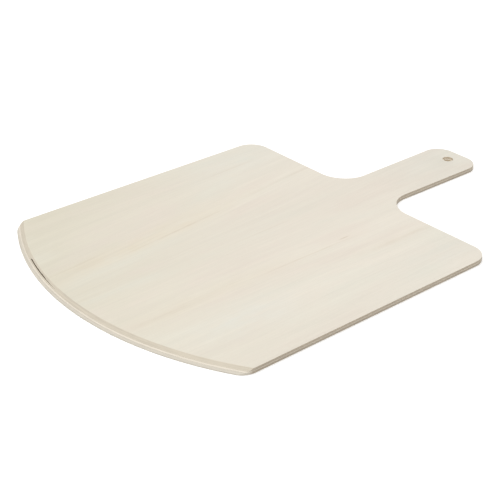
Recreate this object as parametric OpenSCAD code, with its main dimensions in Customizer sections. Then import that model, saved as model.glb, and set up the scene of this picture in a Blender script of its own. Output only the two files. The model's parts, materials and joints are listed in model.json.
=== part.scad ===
// Pizza peel cut from one sheet of three-ply plywood, with a bowed, bevelled front edge and
// a drilled hanging hole. The handle points along +Y, the bevelled edge faces -Y and the
// bevel opens upwards. The origin is under the middle of the peel, on the face it rests on.

/* [Blade] */
// Width of the blade
blade_w = 305; // [240:5:420]
// Length of the blade, from the shoulders to the foremost point of the front edge
blade_len = 324; // [230:1:450]
// How far the middle of the front edge stands in front of the ends of its arc
front_bow = 45; // [20:1:60]
// Radius of the corner where the front edge meets each side
front_corner_r = 16; // [3:1:30]
// Radius of the corner where each side meets a shoulder
rear_corner_r = 19; // [3:1:30]

/* [Handle] */
// Length of the handle, from the shoulders to its end
handle_len = 136; // [110:1:300]
// Width of the handle where its sides would meet the shoulders
handle_root_w = 52.5; // [35:0.5:70]
// Width of the handle at its end
handle_end_w = 55; // [35:0.5:70]
// Radius of the two corners at the end of the handle
handle_end_r = 17; // [5:0.5:17]
// Radius of the hollow curve between the handle and each shoulder
shoulder_r = 28; // [10:1:40]
// Diameter of the hanging hole
hole_d = 10; // [6:0.5:14]
// Distance from the centre of the hanging hole to the end of the handle
hole_inset = 17; // [12:0.5:30]

/* [Plywood] */
// Thickness of each of the two outer plies
face_ply_t = 2.05; // [1:0.05:4]
// Thickness of the middle ply
core_ply_t = 0.8; // [0.5:0.05:3]
// Thickness of each glue line
glue_t = 0.05; // [0.03:0.01:0.1]

/* [Front bevel] */
// Distance that the top of the front bevel is set back from the front edge
bevel_run = 6; // [3:0.5:12]
// Height of the blunt land left below the bevel
land_h = 0.8; // [0.3:0.1:0.9]

/* [Edge split] */
// Length of the split in the front edge, which runs in the top ply close above its glue line
split_len = 57; // [10:1:80]
// Distance along the front edge from its middle to the nearer end of the split
split_offset = 38; // [5:1:60]
// Thickness of the wood left between the glue line and the split
split_rise = 0.55; // [0.1:0.05:0.7]
// Height that the split stands open
split_h = 0.5; // [0.2:0.05:0.8]
// Depth of the split behind the bevel
split_depth = 2.5; // [1:0.5:5]

/* [Hidden] */
$fn = 180;
cut = 1; // how far a cutting solid reaches past the surface that it cuts
lap = 0.01; // how far a corner's circle crosses the lines that it would only touch

// Heights of the layers, from the face that the peel rests on.
core_z = face_ply_t + glue_t;
upper_glue_z = core_z + core_ply_t;
top_ply_z = upper_glue_z + glue_t;
board_t = top_ply_z + face_ply_t;

// The outline is drawn with its shoulders on y = 0, and the board is moved along Y by
// shoulder_y, which puts the origin midway along the peel.
shoulder_y = (blade_len - handle_len) / 2;
half_w = blade_w / 2;

// Front arc: its radius follows from its chord and its bow.
front_r = (half_w * half_w + front_bow * front_bow) / (2 * front_bow);
arc_y = front_r - blade_len;

// Centre of each front corner's circle, which touches the side and the front arc from inside.
corner_x = half_w - front_corner_r;
corner_y = arc_y - sqrt(pow(front_r - front_corner_r, 2) - corner_x * corner_x);

// Handle sides: straight lines, whose outward unit normal on the +X side is side_n.
root_x = handle_root_w / 2;
side_run = [handle_end_w / 2 - root_x, handle_len];
side_n = [side_run[1], -side_run[0]] / norm(side_run);

// Centre of the circle that hollows the angle between the handle and its shoulder.
fillet_c = [root_x + shoulder_r * (1 - side_n[1]) / side_n[0], shoulder_r];

// Centre of the circle that rounds the end of the handle.
end_y = handle_len - handle_end_r;
end_c = [root_x - (handle_end_r + end_y * side_n[1]) / side_n[0], end_y];

hole_y = handle_len - hole_inset;

// Front bevel: the fall of its cone's radius for each millimetre of height.
bevel_slope = bevel_run / (board_t - land_h);

// Edge split: where it starts and how far it runs, as angles about the centre of the front arc.
split_start = split_offset / front_r * 180 / PI;
split_angle = split_len / front_r * 180 / PI;

// The points of a half outline, as seen in a mirror on the Y axis, in the opposite order.
function mirrored(points) =
    [for (i = [len(points) - 1 : -1 : 0]) [-points[i][0], points[i][1]]];

// A corner's disc at the point at, and its mirror image across the Y axis. Its edge crosses
// the lines that it rounds into at a small angle, so that it has a definite end on each.
module disc_pair(at, r) {
    for (side = [-1, 1])
        translate([side * at[0], at[1]])
            circle(r = r + lap);
}

// The part of the front arc's disc that lies in front of its corners' centres and between the
// rays through them.
module front_slice() {
    centre = [0, arc_y];
    corner = [corner_x, corner_y];
    past_arc = centre + 2 * front_r / (front_r - front_corner_r) * (corner - centre);
    half = [corner, past_arc];
    intersection() {
        translate(centre)
            circle(r = front_r);
        polygon(concat(half, mirrored(half)));
    }
}

module blade_outline() {
    rear_x = half_w - rear_corner_r;
    translate([-half_w, corner_y])
        square([blade_w, -rear_corner_r - corner_y]);
    translate([-rear_x, -rear_corner_r])
        square([2 * rear_x, rear_corner_r]);
    disc_pair([rear_x, -rear_corner_r], rear_corner_r);
    disc_pair([corner_x, corner_y], front_corner_r);
    front_slice();
}

// The handle, its rounded end and the hollow curves that join it to the shoulders.
module handle_outline() {
    half = [
        [fillet_c[0], -rear_corner_r],
        fillet_c,
        fillet_c - shoulder_r * side_n,
        end_c + handle_end_r * side_n,
        end_c,
        [end_c[0], handle_len]
    ];
    difference() {
        polygon(concat(half, mirrored(half)));
        disc_pair(fillet_c, shoulder_r);
    }
    disc_pair(end_c, handle_end_r);
}

module peel_outline() {
    difference() {
        union() {
            blade_outline();
            handle_outline();
        }
        translate([0, hole_y])
            circle(d = hole_d);
    }
}

// What the bevel takes off the board: all that lies in front of a cone about the centre of
// the front arc.
module bevel_waste() {
    height = board_t - land_h + 2 * cut;
    overshoot = cut * bevel_slope;
    difference() {
        translate([-half_w - cut, -blade_len - overshoot - cut, 0])
            cube([blade_w + 2 * cut, front_r + overshoot + cut, height]);
        translate([0, arc_y, -cut])
            cylinder(
                h = height + 2 * cut,
                r1 = front_r + 2 * overshoot,
                r2 = front_r - bevel_run - 2 * overshoot
            );
    }
}

// One layer of the board, from height z to z + t.
module layer(z, t) {
    translate([0, shoulder_y, 0])
        difference() {
            translate([0, 0, z])
                linear_extrude(height = t)
                    peel_outline();
            translate([0, 0, land_h - cut])
                bevel_waste();
        }
}

// The split: a thin pocket that follows the front arc. Its depth is measured from where its
// floor meets the bevel.
module edge_split() {
    floor_z = top_ply_z + split_rise;
    mouth_r = front_r - (floor_z - land_h) * bevel_slope;
    translate([0, shoulder_y + arc_y, floor_z])
        rotate([0, 0, -90 - split_start - split_angle])
            rotate_extrude(angle = split_angle)
                translate([mouth_r - split_depth, 0])
                    square([split_depth + cut, split_h]);
}

module bottom_face_ply() {
    color("wheat")
        layer(0, face_ply_t);
}

module lower_glue_line() {
    color("burlywood")
        layer(face_ply_t, glue_t);
}

module core_ply() {
    color("ivory")
        layer(core_z, core_ply_t);
}

module upper_glue_line() {
    color("burlywood")
        layer(upper_glue_z, glue_t);
}

module top_face_ply() {
    color("antiquewhite")
        difference() {
            layer(top_ply_z, face_ply_t);
            edge_split();
        }
}

bottom_face_ply();
lower_glue_line();
core_ply();
upper_glue_line();
top_face_ply();
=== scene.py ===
import json
import math
from collections import namedtuple

import bmesh
import bpy
from mathutils import Matrix, Vector, noise


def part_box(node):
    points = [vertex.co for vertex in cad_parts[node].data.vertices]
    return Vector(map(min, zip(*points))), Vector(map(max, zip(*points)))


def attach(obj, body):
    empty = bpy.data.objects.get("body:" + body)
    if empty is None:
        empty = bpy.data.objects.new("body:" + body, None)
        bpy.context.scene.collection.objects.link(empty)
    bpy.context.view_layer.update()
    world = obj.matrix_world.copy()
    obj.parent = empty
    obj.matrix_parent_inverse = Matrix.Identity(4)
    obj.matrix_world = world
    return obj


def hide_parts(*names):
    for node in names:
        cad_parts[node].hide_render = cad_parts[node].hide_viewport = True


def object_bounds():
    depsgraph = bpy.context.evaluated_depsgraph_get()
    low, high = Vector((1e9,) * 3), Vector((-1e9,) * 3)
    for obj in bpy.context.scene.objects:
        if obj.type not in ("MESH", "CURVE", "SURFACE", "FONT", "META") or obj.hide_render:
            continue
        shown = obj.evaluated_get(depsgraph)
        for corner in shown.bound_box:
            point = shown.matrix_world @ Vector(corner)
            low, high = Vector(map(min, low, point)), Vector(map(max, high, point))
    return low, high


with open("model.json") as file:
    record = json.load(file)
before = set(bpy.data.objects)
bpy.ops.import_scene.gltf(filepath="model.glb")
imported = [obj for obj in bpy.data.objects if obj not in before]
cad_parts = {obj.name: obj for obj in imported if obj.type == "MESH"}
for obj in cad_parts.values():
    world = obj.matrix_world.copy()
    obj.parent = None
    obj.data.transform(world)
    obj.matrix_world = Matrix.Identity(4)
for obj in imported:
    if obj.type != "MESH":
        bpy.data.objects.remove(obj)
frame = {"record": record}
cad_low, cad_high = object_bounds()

# The looks of a pizza peel that is sawn out of one sheet of three-ply board. Each ply and each
# glue line is a closed mesh of its own, which stands for the CAD node of the same layer.
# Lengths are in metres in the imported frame: x across the blade, y along the handle, and z up
# from the face that the peel rests on. The bevelled front edge faces -y.

MM = 0.001

# Outline. The widths and lengths come from the frame, and the rest repeats the part's source.
HALF_W = cad_high.x
FRONT_Y = cad_low.y
END_Y = cad_high.y
BLADE_LEN = 324 * MM
FRONT_BOW = 45 * MM
FRONT_CORNER_R = 16 * MM
REAR_CORNER_R = 19 * MM
HANDLE_ROOT_W = 52.5 * MM
HANDLE_END_W = 55 * MM
HANDLE_END_R = 17 * MM
SHOULDER_R = 28 * MM

# Front bevel, over a blunt land.
BEVEL_RUN = 6 * MM
LAND_H = 0.8 * MM

# The split in the bevel. NEAR and FAR are its ends, measured along the front edge from the
# middle towards -x, and RISE is its height over the upper glue line.
SPLIT_NEAR = 38 * MM
SPLIT_FAR = 95 * MM
SPLIT_RISE = 0.55 * MM
SPLIT_H = 0.5 * MM
SPLIT_DEPTH = 2.5 * MM
# The stretches over which its mouth widens, each as a start, an end and a share of its height.
SPLIT_WIDENINGS = ((38 * MM, 52 * MM, 0.30), (55 * MM, 60 * MM, 0.48), (87 * MM, 92 * MM, 0.22))
# The length over which its far end opens, and how ragged its upper lip is.
SPLIT_START = 1.5 * MM
SPLIT_RAGGEDNESS = 0.25
SPLIT_RAG_LENGTH = 3 * MM
# The rings of its pocket, from the lower lip to the upper one, each as a share of its depth
# and of its height, with this distance between them where it is shut. It has its full depth
# where its mouth is open by this share.
SPLIT_POCKET = ((0, 0), (1, 0), (1, 0.1), (0.6, 0.8), (0, 1))
SPLIT_PINCH = 0.02 * MM
SPLIT_DEEP_FROM = 0.12

# Hand finish that the plain solids leave out: rounded edges and the slight unevenness of
# sanding and of sliced veneer.
TOP_ARRIS_RUN = 0.55 * MM
TOP_ARRIS_DROP = 0.35 * MM
BOTTOM_ARRIS_RUN = 0.7 * MM
BOTTOM_ARRIS_DROP = 0.5 * MM
# The share of a rounded edge's run that is left at the front and in the hole.
FRONT_KEENNESS = 0.4
HOLE_KEENNESS = 0.3
# The y of a cut edge's normal where it counts as the front, and where it no longer does.
FRONT_FACING = -0.85
SIDE_FACING = -0.35
# The height over which the land turns into the bevel, and the rings that round it, as
# shares of that height.
LAND_SOFTNESS = 0.15 * MM
LAND_RINGS = (-1, -0.4, 0, 0.4, 1, 2)
# How far sanding has taken the edges in at most, how far the joints between the plies rise
# and fall, and the length of the bumps of both. The spacing keeps the joints' bumps apart.
SANDING_DIP = 0.08 * MM
SANDING_LENGTH = 22 * MM
VENEER_WAVER = 0.09 * MM
WAVER_LENGTH = 9 * MM
JOINT_SPACING = 10
# How far the glue stands back at the edges, and how far in from them the joints lie flat.
GLUE_RECESS = 0.04 * MM
CONTACT_REACH = 5 * MM

# Mesh density: the length of a step along a straight edge, the steps in each round one, and
# the steps up each cut edge. Edges sharper than the angle are drawn as creases.
STRAIGHT_STEP = 2.5 * MM
FRONT_STEPS = 130
FRONT_CORNER_STEPS = 40
REAR_CORNER_STEPS = 38
SHOULDER_STEPS = 54
HANDLE_CORNER_STEPS = 34
HOLE_STEPS = 64
ARRIS_STEPS = 5
LOWER_EDGE_STEPS = 4
CORE_EDGE_STEPS = 3
UPPER_EDGE_STEPS = 3
SHARP_ANGLE = math.radians(30)

BOARD_T = cad_high.z
SHOULDER_Y = FRONT_Y + BLADE_LEN
FRONT_R = (HALF_W ** 2 + FRONT_BOW ** 2) / (2 * FRONT_BOW)
FRONT_CENTRE = Vector((0, FRONT_Y + FRONT_R))
BEVEL_SLOPE = BEVEL_RUN / (BOARD_T - LAND_H)

# The centres of the outline's round corners on the +x side, and the handle's leaning side.
QUARTER = math.pi / 2
CORNER_X = HALF_W - FRONT_CORNER_R
CORNER_DROP = math.sqrt((FRONT_R - FRONT_CORNER_R) ** 2 - CORNER_X ** 2)
FRONT_CORNER = Vector((CORNER_X, FRONT_CENTRE.y - CORNER_DROP))
CORNER_START = math.atan2(-CORNER_DROP, CORNER_X)
REAR_CORNER = Vector((HALF_W - REAR_CORNER_R, SHOULDER_Y - REAR_CORNER_R))
ROOT_X = HANDLE_ROOT_W / 2
HANDLE_RUN = Vector((HANDLE_END_W / 2 - ROOT_X, END_Y - SHOULDER_Y))
HANDLE_NORMAL = Vector((HANDLE_RUN.y, -HANDLE_RUN.x)).normalized()
HANDLE_ANGLE = math.atan2(HANDLE_NORMAL.y, HANDLE_NORMAL.x)
FILLET_X = ROOT_X + SHOULDER_R * (1 - HANDLE_NORMAL.y) / HANDLE_NORMAL.x
FILLET = Vector((FILLET_X, SHOULDER_Y + SHOULDER_R))
END_CORNER_Y = END_Y - HANDLE_END_R
END_RISE = END_CORNER_Y - SHOULDER_Y
END_CORNER_X = ROOT_X - (HANDLE_END_R + END_RISE * HANDLE_NORMAL.y) / HANDLE_NORMAL.x
END_CORNER = Vector((END_CORNER_X, END_CORNER_Y))

hanging_hole = next(m for m in frame["record"]["mounts"] if m["name"] == "hanging_hole")
HOLE_CENTRE = Vector(hanging_hole["pos_m"][:2])
HOLE_R = hanging_hole["dims"]["r_mm"] * MM


# ---------------------------------------------------------------------------- camera

CAMERA_AZIMUTH = math.radians(47.76)
CAMERA_ELEVATION = math.radians(28.63)
CAMERA_ROLL = math.radians(1.29)
CAMERA_PLACE = Vector((0.7588, -0.7350, 0.5531))
CAMERA_LENS = 96.66
SENSOR_W = 36
CLIP_NEAR = 0.05
CLIP_FAR = 50


def make_camera():
    """A long lens from the front right, looking down at the blade."""
    camera = bpy.data.objects.new("camera", bpy.data.cameras.new("camera"))
    bpy.context.scene.collection.objects.link(camera)
    camera.data.sensor_width = SENSOR_W
    camera.data.lens = CAMERA_LENS
    camera.data.clip_start = CLIP_NEAR
    camera.data.clip_end = CLIP_FAR
    back = Vector((
        math.sin(CAMERA_AZIMUTH) * math.cos(CAMERA_ELEVATION),
        -math.cos(CAMERA_AZIMUTH) * math.cos(CAMERA_ELEVATION),
        math.sin(CAMERA_ELEVATION),
    ))
    turn = back.to_track_quat("Z", "Y").to_matrix() @ Matrix.Rotation(CAMERA_ROLL, 3, "Z")
    camera.matrix_world = Matrix.Translation(CAMERA_PLACE) @ turn.to_4x4()
    bpy.context.scene.camera = camera


# ------------------------------------------------------------------ floor and light

FLOOR_SIZE = 12.0
FLOOR_GAP = 0.1 * MM
FLOOR_COLOUR = (0.95, 0.95, 0.95, 1)
FLOOR_ROUGHNESS = 0.9
FLOOR_GLOSS = 0.1
FLOOR_GLOW = 0.16
WHITE = (1, 1, 1, 1)
KEY_STRENGTH = 2.58
KEY_SPREAD = math.radians(75)
KEY_TILT = (math.radians(6), math.radians(-4), 0)
FILL_STRENGTH = 0.32


def make_stage():
    """A plain near-white floor, lit from within a little, as a studio sweep is."""
    mesh = bpy.data.meshes.new("floor")
    signs = [(-1, -1), (1, -1), (1, 1), (-1, 1)]
    corners = [(i * FLOOR_SIZE / 2, j * FLOOR_SIZE / 2, -FLOOR_GAP) for i, j in signs]
    mesh.from_pydata(corners, [], [range(4)])
    floor = bpy.data.objects.new("floor", mesh)
    bpy.context.scene.collection.objects.link(floor)
    material = bpy.data.materials.new("floor")
    material.use_nodes = True
    shader = material.node_tree.nodes["Principled BSDF"]
    shader.inputs["Base Color"].default_value = FLOOR_COLOUR
    shader.inputs["Roughness"].default_value = FLOOR_ROUGHNESS
    shader.inputs["Specular IOR Level"].default_value = FLOOR_GLOSS
    shader.inputs["Emission Color"].default_value = WHITE
    shader.inputs["Emission Strength"].default_value = FLOOR_GLOW
    mesh.materials.append(material)


def make_lights():
    """A very broad light from nearly overhead, and a dim even fill from all round."""
    key = bpy.data.objects.new("key", bpy.data.lights.new("key", "SUN"))
    key.data.energy = KEY_STRENGTH
    key.data.angle = KEY_SPREAD
    key.rotation_euler = KEY_TILT
    bpy.context.scene.collection.objects.link(key)
    world = bpy.data.worlds.new("studio")
    world.use_nodes = True
    background = world.node_tree.nodes["Background"]
    background.inputs["Color"].default_value = WHITE
    background.inputs["Strength"].default_value = FILL_STRENGTH
    bpy.context.scene.world = world
    bpy.context.scene.view_settings.view_transform = "Standard"


# --------------------------------------------------------------------------- outline
# A path is a closed loop of (point, normal) pairs, where the normal points out of the wood.


def clamped(value):
    """The value, kept between 0 and 1."""
    return min(1.0, max(0.0, value))


def arc(centre, radius, start, end, count, hollow=False):
    """The samples of a round stretch, from one angle to another. A hollow one has its
    centre outside the wood."""
    side = -1 if hollow else 1
    samples = []
    for i in range(count + 1):
        angle = start + (end - start) * i / count
        outward = Vector((math.cos(angle), math.sin(angle)))
        samples.append((centre + radius * outward, side * outward))
    return samples


def straight(start, end):
    """The samples of a straight stretch, with the wood on its left."""
    run = end - start
    normal = Vector((run.y, -run.x)).normalized()
    count = max(1, math.ceil(run.length / STRAIGHT_STEP))
    return [(start + run * i / count, normal) for i in range(count + 1)]


def softness(normal):
    """How much of a ring's inset is left where a cut edge faces this way: all of it on the
    sides and at the rear, and less at the front, where the rounded edges are kept keener."""
    turn = clamped((normal.y - FRONT_FACING) / (SIDE_FACING - FRONT_FACING))
    return FRONT_KEENNESS + (1 - FRONT_KEENNESS) * turn


def front_limit(z, inset):
    """How far the wood reaches from the front arc's centre at a height, for a ring with this
    inset."""
    rise = z - LAND_H
    eased_rise = (rise + math.hypot(rise, LAND_SOFTNESS)) / 2
    return FRONT_R - BEVEL_SLOPE * eased_rise - FRONT_KEENNESS * inset


def bevel_end(front_r, corner_r):
    """How far past the start of a front corner the bevel ends: an angle about the front
    arc's centre, and one about the corner's own centre."""
    reach = FRONT_R - FRONT_CORNER_R
    at_front = (front_r ** 2 + reach ** 2 - corner_r ** 2) / (2 * front_r * reach)
    at_corner = (front_r ** 2 - reach ** 2 - corner_r ** 2) / (2 * corner_r * reach)
    return math.acos(min(1, at_front)), math.acos(min(1, at_corner))


def front_stretches(ring):
    """The bowed front edge and the front corner. A ring leaves the bevel and joins the side
    where the two meet at its own height."""
    front_turn, corner_turn = bevel_end(front_limit(ring.z, ring.inset),
                                        FRONT_CORNER_R - ring.inset)
    return [
        arc(FRONT_CENTRE, FRONT_R, -QUARTER, CORNER_START + front_turn, FRONT_STEPS),
        arc(FRONT_CORNER, FRONT_CORNER_R, CORNER_START + corner_turn, 0, FRONT_CORNER_STEPS),
    ]


def blade_stretches():
    """The blade's side, its rear corner and the shoulder."""
    return [
        straight(Vector((HALF_W, FRONT_CORNER.y)), Vector((HALF_W, REAR_CORNER.y))),
        arc(REAR_CORNER, REAR_CORNER_R, 0, QUARTER, REAR_CORNER_STEPS),
        straight(Vector((REAR_CORNER.x, SHOULDER_Y)), Vector((FILLET.x, SHOULDER_Y))),
    ]


def handle_stretches():
    """The hollow curve out of the shoulder, and the handle's side, corner and end."""
    side_start = FILLET - SHOULDER_R * HANDLE_NORMAL
    side_end = END_CORNER + HANDLE_END_R * HANDLE_NORMAL
    return [
        arc(FILLET, SHOULDER_R, -QUARTER, HANDLE_ANGLE - math.pi, SHOULDER_STEPS, hollow=True),
        straight(side_start, side_end),
        arc(END_CORNER, HANDLE_END_R, HANDLE_ANGLE, QUARTER, HANDLE_CORNER_STEPS),
        straight(Vector((END_CORNER.x, END_Y)), Vector((0, END_Y))),
    ]


def half_outline(ring):
    """The +x half of the outline, from the front edge's middle to the handle's end."""
    first, *others = front_stretches(ring) + blade_stretches() + handle_stretches()
    joined = first
    for stretch in others:
        joined = joined + stretch[1:]
    return joined


def mirrored(sample):
    """The same sample on the -x side."""
    point, normal = sample
    return Vector((-point.x, point.y)), Vector((-normal.x, normal.y))


def outer_path(ring):
    """The whole outline, run anticlockwise from the front edge's middle."""
    half = half_outline(ring)
    return half + [mirrored(sample) for sample in reversed(half[1:-1])]


def hole_path():
    """The hanging hole, run clockwise, so that its normals point into the hole."""
    return arc(HOLE_CENTRE, HOLE_R, 2 * math.pi, 0, HOLE_STEPS, hollow=True)[:-1]


# ------------------------------------------------------------------------------ plies
# A layer's shape is a list of rings, from the edge of its lower face, up its cut edge, to
# the edge of its upper face. z is a ring's height and inset its distance into the wood.
# seam is how far the ring follows the unevenness of the veneer joint it lies on, and joint
# says which joint that is. depth and lift are the shares of the split's depth and height
# that it follows.
Ring = namedtuple("Ring", "z inset seam joint depth lift", defaults=(0, 0, 0, 0, 0))

LOWER_JOINT = 1
UPPER_JOINT = 2


def split_mouth(point):
    """How far the split stands open at a point of the front edge, from 0 to 1: it starts
    at once at its far end, and closes slowly towards the middle of the blade."""
    reach = Vector(point) - FRONT_CENTRE
    if reach.y > 0:
        return 0.0
    along = -FRONT_R * math.atan2(reach.x, -reach.y)
    if not SPLIT_NEAR < along < SPLIT_FAR:
        return 0.0
    height = sum(share * clamped((along - start) / (end - start))
                 for start, end, share in SPLIT_WIDENINGS)
    ragged = 1 + SPLIT_RAGGEDNESS * noise.noise(Vector((along / SPLIT_RAG_LENGTH, 0, 0)))
    return height * ragged * clamped((SPLIT_FAR - along) / SPLIT_START)


def unevenness(point, length, joint=0):
    """Noise from -1 to 1 round the outline, with bumps of this length. Each joint has its
    own."""
    return noise.noise(Vector((*(point / length), JOINT_SPACING * joint)))


def ring_points(path, ring):
    """The points of one ring round a path."""
    points = []
    for point, normal in path:
        mouth = split_mouth(point)
        waver = VENEER_WAVER * unevenness(point, WAVER_LENGTH, ring.joint)
        z = ring.z + waver * ring.seam + SPLIT_H * mouth * ring.lift
        dip = SANDING_DIP * (1 + unevenness(point, SANDING_LENGTH)) / 2
        place = point - (ring.inset * softness(normal) + dip) * normal
        reach = place - FRONT_CENTRE
        pocket = SPLIT_DEPTH * ring.depth * clamped(mouth / SPLIT_DEEP_FROM)
        limit = front_limit(z, ring.inset) - dip - pocket
        if reach.length > limit:
            place = FRONT_CENTRE + reach * (limit / reach.length)
        points.append((place.x, place.y, z))
    return points


def ring_loops(ring):
    """The points of a ring round the outline, and of the same ring round the hole."""
    hole_ring = ring._replace(inset=HOLE_KEENNESS * ring.inset)
    return ring_points(outer_path(ring), ring), ring_points(hole_path(), hole_ring)


def arris_rings(face_z, run, drop, up):
    """The rings of a rounded edge, from the flat face to the cut edge. up is 1 under the
    top face and -1 over the bottom one."""
    rings = []
    for i in range(ARRIS_STEPS + 1):
        turn = QUARTER * i / ARRIS_STEPS
        fall = drop * (1 - math.cos(turn))
        rings.append(Ring(face_z - up * fall, run * (1 - math.sin(turn))))
    return rings


def lower_contact(z, joint):
    """A layer's underside where it is glued: flat inside, and uneven at its edge."""
    return [Ring(z, CONTACT_REACH), Ring(z, 0, 1, joint)]


def upper_contact(z, joint):
    """The same for its upper side."""
    return lower_contact(z, joint)[::-1]


def between(low, high, count):
    """Plain rings that divide a cut edge into equal steps, without its two ends."""
    return [Ring(low + (high - low) * i / count) for i in range(1, count)]


def build_layer(name, rings):
    """A closed mesh from a layer's rings: the outer edge, the hole's edge and two faces."""
    mesh = bmesh.new()
    face_edges = {0: [], len(rings) - 1: []}
    for levels in zip(*(ring_loops(ring) for ring in rings)):
        loops = [[mesh.verts.new(p) for p in level] for level in levels]
        count = len(loops[0])
        for lower, upper in zip(loops, loops[1:]):
            for i in range(count):
                j = (i + 1) % count
                mesh.faces.new((lower[i], lower[j], upper[j], upper[i])).smooth = True
        for level, edges in face_edges.items():
            loop = loops[level]
            edges += [mesh.edges.get((loop[i], loop[(i + 1) % count])) for i in range(count)]
    for edges in face_edges.values():
        bmesh.ops.triangle_fill(mesh, edges=edges, use_beauty=True)
    bmesh.ops.recalc_face_normals(mesh, faces=mesh.faces)
    data = bpy.data.meshes.new(name)
    mesh.to_mesh(data)
    mesh.free()
    data.set_sharp_from_angle(angle=SHARP_ANGLE)
    piece = bpy.data.objects.new(name, data)
    bpy.context.scene.collection.objects.link(piece)
    return piece


def bottom_veneer_rings(low, high):
    """The rounded bottom edge, the blunt land and the foot of the bevel."""
    arris = arris_rings(low, BOTTOM_ARRIS_RUN, BOTTOM_ARRIS_DROP, up=-1)
    land = [Ring(LAND_H + share * LAND_SOFTNESS) for share in LAND_RINGS]
    edge = between(land[-1].z, high - VENEER_WAVER, LOWER_EDGE_STEPS)
    return arris + land + edge + upper_contact(high, LOWER_JOINT)


def glue_rings(low, high, joint):
    """A film that follows its joint's unevenness and stands back a little at the edges."""
    rings = lower_contact(low, joint) + upper_contact(high, joint)
    return [ring._replace(inset=ring.inset + GLUE_RECESS) for ring in rings]


def core_rings(low, high):
    """The middle ply, between the two uneven joints."""
    edge = between(low, high, CORE_EDGE_STEPS)
    return lower_contact(low, LOWER_JOINT) + edge + upper_contact(high, UPPER_JOINT)


def top_veneer_rings(low, high):
    """The split, the rest of the bevel and the rounded top edge. Outside the split, the
    rings of its pocket lie close together on the cut edge."""
    pocket = [Ring(low + SPLIT_RISE + i * SPLIT_PINCH, depth=depth, lift=lift)
              for i, (depth, lift) in enumerate(SPLIT_POCKET)]
    arris = arris_rings(high, TOP_ARRIS_RUN, TOP_ARRIS_DROP, up=1)[::-1]
    edge = between(pocket[-1].z + SPLIT_H, arris[0].z, UPPER_EDGE_STEPS)
    return lower_contact(low, UPPER_JOINT) + pocket + edge + arris


# -------------------------------------------------------------------------- materials

# The sockets of a Mix node that is set to colours.
FACTOR = 0
COLOUR_A = 6
COLOUR_B = 7
COLOUR_OUT = 2
NOISE_MIDDLE = 0.5


class Shading:
    """A material whose node tree is built up by short calls. An input is a number, a colour
    or another node's output."""

    def __init__(self, name):
        self.material = bpy.data.materials.new(name)
        self.material.use_nodes = True
        self.tree = self.material.node_tree
        self.shader = self.tree.nodes["Principled BSDF"]
        coordinates = self.node("ShaderNodeTexCoord").outputs
        self.place = coordinates["Object"]
        self.x, self.y, self.z = self.split(self.place)
        self.normal = self.split(coordinates["Normal"])
        self.tilt = self.math("ABSOLUTE", self.normal[2])

    def feed(self, socket, value):
        """Links a node's output to an input, or sets the input to a number or a colour."""
        if isinstance(value, bpy.types.NodeSocket):
            self.tree.links.new(value, socket)
        else:
            socket.default_value = (*value, 1) if socket.type == "RGBA" else value

    def node(self, kind, *inputs, **settings):
        """A new node with these settings, and these values in its first inputs."""
        made = self.tree.nodes.new(kind)
        for key, value in settings.items():
            setattr(made, key, value)
        for socket, value in zip(made.inputs, inputs):
            self.feed(socket, value)
        return made

    def split(self, vector):
        return tuple(self.node("ShaderNodeSeparateXYZ", vector).outputs)

    def vector(self, x, y, z):
        return self.node("ShaderNodeCombineXYZ", x, y, z).outputs[0]

    def math(self, operation, *inputs):
        return self.node("ShaderNodeMath", *inputs, operation=operation).outputs[0]

    def total(self, *values):
        result = values[0]
        for value in values[1:]:
            result = self.math("ADD", result, value)
        return result

    def product(self, *values):
        result = values[0]
        for value in values[1:]:
            result = self.math("MULTIPLY", result, value)
        return result

    def rise(self, value, low, high):
        """0 below low, 1 above high and smooth between. With low above high it falls."""
        made = self.node("ShaderNodeMapRange", value, low, high, 0, 1,
                         interpolation_type="SMOOTHSTEP")
        return made.outputs[0]

    def ridge(self, value, centre, half_width):
        """1 where value is at centre, falling smoothly to 0 at half_width on both sides."""
        away = self.math("ABSOLUTE", self.math("SUBTRACT", value, centre))
        return self.rise(away, half_width, 0)

    def fibres(self, place, figure):
        """Noise from about -0.5 to 0.5, drawn out to a figure's lengths along x, y and z."""
        lengths = (figure.across, figure.along, figure.deep)
        drawn = self.node("ShaderNodeVectorMath", place, lengths, operation="DIVIDE")
        made = self.node("ShaderNodeTexNoise", noise_dimensions="3D")
        self.feed(made.inputs["Vector"], drawn.outputs[0])
        self.feed(made.inputs["Scale"], 1)
        self.feed(made.inputs["Detail"], figure.detail)
        return self.math("SUBTRACT", made.outputs[0], NOISE_MIDDLE)

    def mix(self, share, first, second):
        """A colour between two colours."""
        made = self.node("ShaderNodeMix", data_type="RGBA", clamp_factor=True)
        self.feed(made.inputs[FACTOR], share)
        self.feed(made.inputs[COLOUR_A], first)
        self.feed(made.inputs[COLOUR_B], second)
        return made.outputs[COLOUR_OUT]

    def dim(self, colour, share):
        """A colour times a number."""
        scaled = self.node("ShaderNodeVectorMath", colour, operation="SCALE")
        self.feed(scaled.inputs["Scale"], share)
        return scaled.outputs[0]

    def finish(self, colour, roughness, height, relief):
        """Feeds the shader: its colour and roughness, and a height for the bump in metres."""
        bump = self.node("ShaderNodeBump")
        self.feed(bump.inputs["Height"], height)
        self.feed(bump.inputs["Distance"], relief)
        self.feed(self.shader.inputs["Base Color"], colour)
        self.feed(self.shader.inputs["Roughness"], roughness)
        self.feed(self.shader.inputs["Normal"], bump.outputs[0])
        self.feed(self.shader.inputs["Specular IOR Level"], WOOD_GLOSS)
        return self.material


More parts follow.
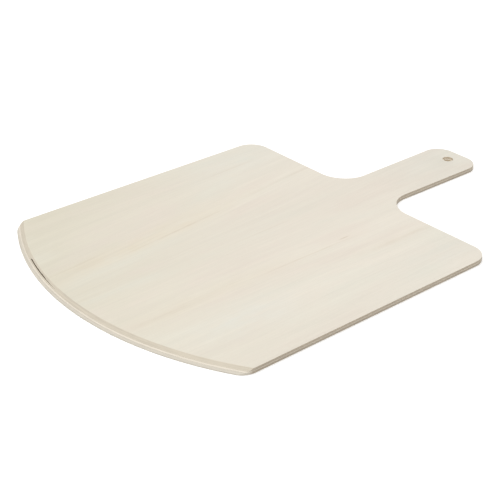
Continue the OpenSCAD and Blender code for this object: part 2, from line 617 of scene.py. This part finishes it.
# The figures of the wood. Each is noise drawn out to its lengths across, along and through
# the grain, and strength is how much of it shows. GRAIN_DRIFT moves the grain sideways, by
# up to half its strength.
Figure = namedtuple("Figure", "across along deep strength detail", defaults=(2.0,))
FINE_GRAIN = Figure(0.7 * MM, 34 * MM, 0.4 * MM, 0.095)
STREAKS = Figure(4.2 * MM, 120 * MM, 3 * MM, 0.068)
BROAD_BANDS = Figure(30 * MM, 330 * MM, 12 * MM, 0.07, 1)
HUE_PATCHES = Figure(22 * MM, 90 * MM, 9 * MM, 0.5, 1)
PORES = Figure(0.2 * MM, 2.4 * MM, 0.3 * MM, 0.12, 0)
GRAIN_DRIFT = Figure(70 * MM, 240 * MM, 30 * MM, 7 * MM, 1)
MARK_BREAKS = Figure(9 * MM, 26 * MM, 9 * MM, 2.2)
EDGE_LAYERS = Figure(40 * MM, 60 * MM, 0.45 * MM, 0.30)
FIBRE_ENDS = Figure(0.22 * MM, 8 * MM, 0.16 * MM, 0.20)
EDGE_STAIN = Figure(14 * MM, 14 * MM, 2.5 * MM, 0.16)
CORE_GRAIN = Figure(0.6 * MM, 30 * MM, 0.4 * MM, 0.12)
SOAKED_GLUE = Figure(6 * MM, 6 * MM, 6 * MM, 0.3)

# Where the noise turns from one look to another.
HUE_TURN = 0.25
PORE_TURN = (0.19, 0.30)
GLUE_TURN = (-0.2, 0.2)

# How rough each surface is, how much its grain and its cut edges add to that, and the
# height of its relief.
WOOD_GLOSS = 0.3
FACE_ROUGHNESS = 0.56
FACE_GRAIN_ROUGHNESS = 0.14
CUT_ROUGHNESS = 0.12
FACE_RELIEF = 0.05 * MM
PORE_DEPTH = 0.6
STREAK_HEIGHT = 0.5
CORE_ROUGHNESS = 0.64
CORE_GRAIN_ROUGHNESS = 0.15
CORE_RELIEF = 0.06 * MM
GLUE_ROUGHNESS = 0.45
GLUE_RELIEF = 0.02 * MM

# Sanded veneer: pale at the right rear of the blade and deeper at the left front, with
# pinker and greener patches, warm and cool bands, and streaks.
FACE_PALE = (0.750, 0.697, 0.606)
FACE_DEEP = (0.675, 0.633, 0.520)
FACE_PINK = (0.727, 0.650, 0.566)
FACE_GREEN = (0.712, 0.692, 0.598)
FACE_WARM = (0.722, 0.646, 0.516)
FACE_COOL = (0.700, 0.692, 0.622)
STREAK_BROWN = (0.52, 0.42, 0.30)
STREAK_PALE = (0.80, 0.76, 0.68)
# The face gets deeper from the start towards -x and -y. The slant is how much each of the
# two counts, and the run is the length over which it happens.
TONE_START = Vector((125 * MM, 70 * MM))
TONE_SLANT = Vector((0.4, 0.6))
TONE_RUN = 250 * MM
# How much darker the handle is than the blade, the length over which it gets so, and how
# much darker the cut edges get where the face is deeper.
HANDLE_DIMMING = 0.035
HANDLE_FADE = 60 * MM
EDGE_DIMMING = 0.08

# The grain of the face veneers leans across the blade to the left of its middle. LEAN is
# its greatest slope, at LEAN_X, and LEAN_W is how quickly that fades to both sides.
LEAN = 0.105
LEAN_X = -55 * MM
LEAN_W = 60 * MM

# The marks that stand out on the top face, each along the grain. at is its distance from
# the middle of the blade, measured at the shoulders, and start and end are its ends in y.
Mark = namedtuple("Mark", "at start end half_width strength colour")
MARKS = (
    Mark(-76 * MM, -330 * MM, 60 * MM, 20 * MM, 0.60, FACE_WARM),
    Mark(52 * MM, -290 * MM, 20 * MM, 16 * MM, 0.30, FACE_WARM),
    Mark(-20 * MM, -110 * MM, 150 * MM, 70 * MM, 0.25, FACE_PINK),
    Mark(96 * MM, -220 * MM, -50 * MM, 32 * MM, 0.60, FACE_COOL),
    Mark(-130 * MM, -60 * MM, 170 * MM, 50 * MM, 0.40, FACE_COOL),
    Mark(125 * MM, -20 * MM, 150 * MM, 34 * MM, 0.35, FACE_COOL),
    Mark(0, 100 * MM, 330 * MM, 60 * MM, 0.40, FACE_COOL),
    Mark(-71 * MM, -175 * MM, -5 * MM, 1.8 * MM, 0.34, STREAK_BROWN),
    Mark(-73 * MM, -30 * MM, 170 * MM, 3.2 * MM, 0.15, STREAK_BROWN),
    Mark(-86 * MM, -250 * MM, -120 * MM, 1.8 * MM, 0.22, STREAK_BROWN),
    Mark(-120 * MM, -10 * MM, 80 * MM, 1.8 * MM, 0.20, STREAK_BROWN),
    Mark(-9 * MM, -85 * MM, 22 * MM, 1.6 * MM, 0.20, STREAK_BROWN),
    Mark(54 * MM, -95 * MM, 45 * MM, 1.6 * MM, 0.32, STREAK_BROWN),
    Mark(83 * MM, -20 * MM, 140 * MM, 5.0 * MM, 0.16, STREAK_BROWN),
    Mark(-38 * MM, -160 * MM, 100 * MM, 3.0 * MM, 0.18, STREAK_PALE),
    Mark(-65 * MM, -60 * MM, 100 * MM, 2.5 * MM, 0.22, STREAK_PALE),
    Mark(-82 * MM, -300 * MM, 30 * MM, 20 * MM, 0.07, STREAK_BROWN),
    Mark(-150 * MM, -320 * MM, -20 * MM, 30 * MM, 0.06, STREAK_BROWN),
    Mark(42 * MM, -300 * MM, 0, 16 * MM, 0.06, STREAK_BROWN),
    Mark(78 * MM, -40 * MM, 150 * MM, 14 * MM, 0.035, STREAK_BROWN),
    Mark(52 * MM, -245 * MM, -125 * MM, 7 * MM, 0.12, STREAK_BROWN),
    Mark(102 * MM, -260 * MM, 90 * MM, 22 * MM, 0.10, STREAK_PALE),
)
# The heights between which the marks come in, as shares of the board's thickness, and how
# much of each mark is unbroken.
MARKS_FROM = 0.7
MARKS_WHOLE = 0.9
MARK_SOLIDITY = 0.75
# One short dark fleck on the right of the blade.
FLECK_AT = (51 * MM, 18 * MM)
FLECK_HALF_W = 1.2 * MM
FLECK_HALF_LEN = 9 * MM
FLECK_STRENGTH = 0.5

# Sawn and sanded edges, where the ends or the sides of the fibres show. The colours for edges
# that face a side are darker than the grain alone makes them: painted shade.
UPPER_END_GRAIN = (0.655, 0.590, 0.478)
UPPER_SIDE_GRAIN_SHADED = (0.490, 0.415, 0.322)
LOWER_END_GRAIN = (0.673, 0.622, 0.530)
LOWER_SIDE_GRAIN_SHADED = (0.462, 0.392, 0.305)
CORE_END_GRAIN_SHADED = (0.610, 0.550, 0.445)
CORE_SIDE_GRAIN = (0.792, 0.725, 0.612)
CORE_FACE = (0.740, 0.690, 0.600)
GLUE_TAN = (0.360, 0.270, 0.170)
GLUE_DARK = (0.250, 0.180, 0.110)
# The split's floor and roof are painted nearly black: painted shade in the recess, partly
# glue-stained dirt.
SPLIT_SHADE_AND_DIRT = (0.105, 0.070, 0.038)

# The rounded edges along the sides are painted pale: a painted highlight, partly rubbed wear. It
# is strongest where the z of their normal is ARRIS_TILT, and spreads over this span of it on
# both sides.
ARRIS_WEAR_AND_HIGHLIGHT = (0.830, 0.770, 0.670)
ARRIS_TILT = 0.80
ARRIS_TILT_SPAN = 0.195
ARRIS_STRENGTH = 0.6

# How squarely an edge faces -y where its looks turn from a side's to the front's. TINY
# keeps a level face, which has no such direction, from a division by zero.
FRONT_TURN = (0.15, 0.40)
TINY = 1e-6
# The z of a normal where the face's colour gives way to a cut edge's, on the sides and in
# front, and the z above which a surface counts as level.
SIDE_CUT_TILT = (0.85, 0.35)
FRONT_CUT_TILT = (0.985, 0.90)
LEVEL_TILT = 0.9

# The same plies on the wall of the drilled hole, in colours set to offset the shade inside it:
# painted light, strongest in the core, partly cleaner drilled wood. These looks are whole up to
# the nearer distance from the hole's edge and end at the farther.
HOLE_UPPER_LIT = (0.690, 0.590, 0.450)
HOLE_LOWER_LIT = (0.540, 0.450, 0.330)
HOLE_CORE_LIT = (0.950, 0.900, 0.800)
DRILLED_UNEVENNESS = 0.12
HOLE_WALL_NEAR = 1 * MM
HOLE_WALL_FAR = 2 * MM

# A darker growth layer that the bevel cuts through just under the top face.
DARK_LAYER_Z = 4.45 * MM
DARK_LAYER_HALF = 0.5 * MM
DARK_LAYER_SHARE = 0.04


def front_share(s):
    """1 where a cut edge faces the front, and 0 where it faces a side or the rear."""
    x, y, _ = s.normal
    level = s.math("SQRT", s.total(s.product(x, x), s.product(y, y), TINY))
    return s.rise(s.math("DIVIDE", s.product(y, -1), level), *FRONT_TURN)


def cut_share(s, front):
    """0 on a veneer's face and 1 on a cut edge. The bevel counts as cut, and the rounded
    edges along the sides keep the face's colour almost to where they end."""
    at_side = s.product(s.rise(s.tilt, *SIDE_CUT_TILT), s.math("SUBTRACT", 1, front))
    return s.total(at_side, s.product(s.rise(s.tilt, *FRONT_CUT_TILT), front))


def arris_wear_and_highlight_share(s, front):
    """How much of the pale look a rounded edge has along the sides: a painted highlight, partly
    rubbed wear.
    """
    ridge = s.ridge(s.tilt, ARRIS_TILT, ARRIS_TILT_SPAN)
    return s.product(ridge, s.math("SUBTRACT", 1, front), ARRIS_STRENGTH)


def distance_from(s, centre):
    """The distance of a point from an upright axis."""
    away = s.node("ShaderNodeVectorMath", s.vector(s.x, s.y, 0), (*centre, 0),
                  operation="DISTANCE")
    return away.outputs["Value"]


def hole_share(s):
    """1 on the wall of the hanging hole, and 0 on every other cut edge."""
    return s.rise(distance_from(s, HOLE_CENTRE), HOLE_R + HOLE_WALL_FAR, HOLE_R + HOLE_WALL_NEAR)


def split_share(s):
    """1 on the floor and the roof of the split, which lie level and behind the bevel and take
    painted shade.
    """
    level = s.math("GREATER_THAN", s.tilt, LEVEL_TILT)
    bevel_r = s.total(s.product(s.z, -BEVEL_SLOPE), FRONT_R + LAND_H * BEVEL_SLOPE)
    behind = s.math("LESS_THAN", distance_from(s, FRONT_CENTRE),
                    s.math("SUBTRACT", bevel_r, SANDING_DIP))
    above = s.math("GREATER_THAN", s.z, BOARD_T / 2)
    below = s.math("LESS_THAN", s.z, BOARD_T - TOP_ARRIS_DROP)
    return s.product(level, behind, above, below)


def leaning_grain(s):
    """The place of a point in the veneer, with x measured along the leaning grain."""
    off = s.math("DIVIDE", s.math("SUBTRACT", s.x, LEAN_X), LEAN_W)
    lean = s.product(LEAN, s.math("EXPONENT", s.product(off, off, -1)))
    drop = s.math("SUBTRACT", SHOULDER_Y, s.y)
    drift = s.product(s.fibres(s.place, GRAIN_DRIFT), GRAIN_DRIFT.strength)
    return s.vector(s.total(s.x, s.product(lean, drop, -1), drift), s.y, s.z)


def place_tone(s):
    """0 at the pale right rear of the blade and 1 at its deeper left front."""
    run_x = s.product(s.math("SUBTRACT", TONE_START.x, s.x), TONE_SLANT.x / TONE_RUN)
    run_y = s.product(s.math("SUBTRACT", TONE_START.y, s.y), TONE_SLANT.y / TONE_RUN)
    run = s.math("MAXIMUM", s.total(run_x, run_y), 0)
    return s.product(run, run)


def cut_edge_colour(s, grain, front_colour, shaded_side_colour, lit_hole_colour, front):
    """The wood on a cut edge: thin growth layers, open fibre ends and scattered stain. It is
    darker where it faces a side, which is painted shade, and paler in the hole, which is painted
    light, on top of the grain's own colours.
    """
    layers = s.product(s.fibres(grain, EDGE_LAYERS), EDGE_LAYERS.strength)
    ends = s.fibres(grain, FIBRE_ENDS)
    stain = s.product(s.fibres(s.place, EDGE_STAIN), EDGE_STAIN.strength)
    tone = s.total(1, layers, s.product(ends, FIBRE_ENDS.strength), stain,
                   s.product(place_tone(s), -EDGE_DIMMING))
    # Cut edges that face a side take the darker colour: painted shade.
    outside = s.dim(s.mix(front, shaded_side_colour, front_colour), tone)
    # The hole's wall takes its paler colours: painted light, partly cleaner drilled wood.
    drilled = s.dim(lit_hole_colour, s.total(1, s.product(ends, DRILLED_UNEVENNESS)))
    return s.mix(hole_share(s), outside, drilled)


def veneer_edge(s, grain, front):
    """The cut edges of the face veneers, where the lower one has its own colours."""
    lower = s.math("LESS_THAN", s.z, BOARD_T / 2)
    end_grain = s.mix(lower, UPPER_END_GRAIN, LOWER_END_GRAIN)
    shaded_side_grain = s.mix(lower, UPPER_SIDE_GRAIN_SHADED, LOWER_SIDE_GRAIN_SHADED)
    in_hole = s.mix(lower, HOLE_UPPER_LIT, HOLE_LOWER_LIT)
    edge = cut_edge_colour(s, grain, end_grain, shaded_side_grain, in_hole, front)
    dark_layer = s.product(s.ridge(s.z, DARK_LAYER_Z, DARK_LAYER_HALF), front)
    return s.dim(edge, s.total(1, s.product(dark_layer, -DARK_LAYER_SHARE)))


def marked(s, colour, u):
    """The colour with the placed marks drawn over it, on the top face only. u is the
    distance across the grain."""
    on_top = s.rise(s.z, BOARD_T * MARKS_FROM, BOARD_T * MARKS_WHOLE)
    breaks = s.product(s.fibres(s.place, MARK_BREAKS), MARK_BREAKS.strength)
    uneven = s.total(MARK_SOLIDITY, breaks)
    for mark in MARKS:
        middle = (mark.start + mark.end) / 2
        length = s.ridge(s.y, middle, (mark.end - mark.start) / 2)
        line = s.ridge(u, mark.at, mark.half_width)
        share = s.product(line, length, uneven, on_top, mark.strength)
        colour = s.mix(share, colour, mark.colour)
    fleck_x, fleck_y = FLECK_AT
    fleck = s.product(s.ridge(s.x, fleck_x, FLECK_HALF_W), s.ridge(s.y, fleck_y, FLECK_HALF_LEN))
    return s.mix(s.product(fleck, on_top, FLECK_STRENGTH), colour, STREAK_BROWN)


def face_hues(s, grain):
    """The sanded face's colour: deeper to the left front, and pinker or greener in patches, with
    the placed marks on it."""
    hue = s.fibres(grain, HUE_PATCHES)
    face = s.mix(place_tone(s), FACE_PALE, FACE_DEEP)
    pinker = s.product(s.rise(hue, 0, HUE_TURN), HUE_PATCHES.strength)
    greener = s.product(s.rise(hue, 0, -HUE_TURN), HUE_PATCHES.strength)
    face = s.mix(pinker, face, FACE_PINK)
    face = s.mix(greener, face, FACE_GREEN)
    return marked(s, face, s.split(grain)[0])


def face_tone(s, grain, fine, streaks):
    """How light the sanded face is: the grain, and the slightly darker handle."""
    bands = s.product(s.fibres(grain, BROAD_BANDS), BROAD_BANDS.strength)
    handle = s.rise(s.y, SHOULDER_Y, SHOULDER_Y + HANDLE_FADE)
    return s.total(1, s.product(handle, -HANDLE_DIMMING), s.product(fine, FINE_GRAIN.strength),
                   s.product(streaks, STREAKS.strength), bands)


def face_veneer_material():
    """Pale sanded veneer with fine straight grain along the handle."""
    s = Shading("face_veneer")
    grain = leaning_grain(s)
    front = front_share(s)
    cut = cut_share(s, front)
    fine = s.fibres(grain, FINE_GRAIN)
    streaks = s.fibres(grain, STREAKS)
    pores = s.rise(s.fibres(grain, PORES), *PORE_TURN)

    face = s.mix(s.product(pores, PORES.strength), face_hues(s, grain), STREAK_BROWN)
    face = s.dim(face, face_tone(s, grain, fine, streaks))
    # Painted highlight, partly wear, on the rounded side edges.
    face = s.mix(arris_wear_and_highlight_share(s, front), face, ARRIS_WEAR_AND_HIGHLIGHT)
    colour = s.mix(cut, face, veneer_edge(s, grain, front))
    # Painted shade, partly dirt, on the split's floor and roof.
    colour = s.mix(split_share(s), colour, SPLIT_SHADE_AND_DIRT)
    roughness = s.total(FACE_ROUGHNESS, s.product(fine, FACE_GRAIN_ROUGHNESS),
                        s.product(cut, CUT_ROUGHNESS))
    height = s.total(fine, s.product(pores, -PORE_DEPTH), s.product(streaks, STREAK_HEIGHT))
    return s.finish(colour, roughness, height, FACE_RELIEF)


def core_veneer_material():
    """The middle ply: the same wood with its grain across the blade, pale where it is cut."""
    s = Shading("core_veneer")
    across = s.vector(s.y, s.x, s.z)
    front = front_share(s)
    fine = s.fibres(across, CORE_GRAIN)
    face = s.dim(CORE_FACE, s.total(1, s.product(fine, CORE_GRAIN.strength)))
    edge = cut_edge_colour(s, across, CORE_SIDE_GRAIN, CORE_END_GRAIN_SHADED, HOLE_CORE_LIT, front)
    colour = s.mix(cut_share(s, front), face, edge)
    roughness = s.total(CORE_ROUGHNESS, s.product(fine, CORE_GRAIN_ROUGHNESS))
    return s.finish(colour, roughness, fine, CORE_RELIEF)


def glue_material():
    """Cured glue: a hard brown hairline at the edges."""
    s = Shading("glue")
    soaked = s.fibres(s.place, SOAKED_GLUE)
    colour = s.mix(s.rise(soaked, *GLUE_TURN), GLUE_DARK, GLUE_TAN)
    roughness = s.total(GLUE_ROUGHNESS, s.product(soaked, SOAKED_GLUE.strength))
    return s.finish(colour, roughness, soaked, GLUE_RELIEF)


# --------------------------------------------------------------------------- assembly


def layer_heights(node):
    """The heights of a CAD node's underside and of its upper side."""
    low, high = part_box(node)
    return low.z, high.z


def add_piece(name, rings, node, material):
    """One layer of the board, which stands for its CAD node."""
    piece = build_layer(name, rings)
    piece.data.materials.append(material)
    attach(piece, "root")
    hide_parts(node)


def make_board():
    """The five layers, from the bottom up."""
    face = face_veneer_material()
    core = core_veneer_material()
    glue = glue_material()
    add_piece("bottom_veneer", bottom_veneer_rings(*layer_heights("bottom_face_ply")),
              "bottom_face_ply", face)
    add_piece("lower_glue_film", glue_rings(*layer_heights("lower_glue_line"), LOWER_JOINT),
              "lower_glue_line", glue)
    add_piece("core_veneer", core_rings(*layer_heights("core_ply")),
              "core_ply", core)
    add_piece("upper_glue_film", glue_rings(*layer_heights("upper_glue_line"), UPPER_JOINT),
              "upper_glue_line", glue)
    add_piece("top_veneer", top_veneer_rings(*layer_heights("top_face_ply")),
              "top_face_ply", face)


make_camera()
make_stage()
make_lights()
make_board()
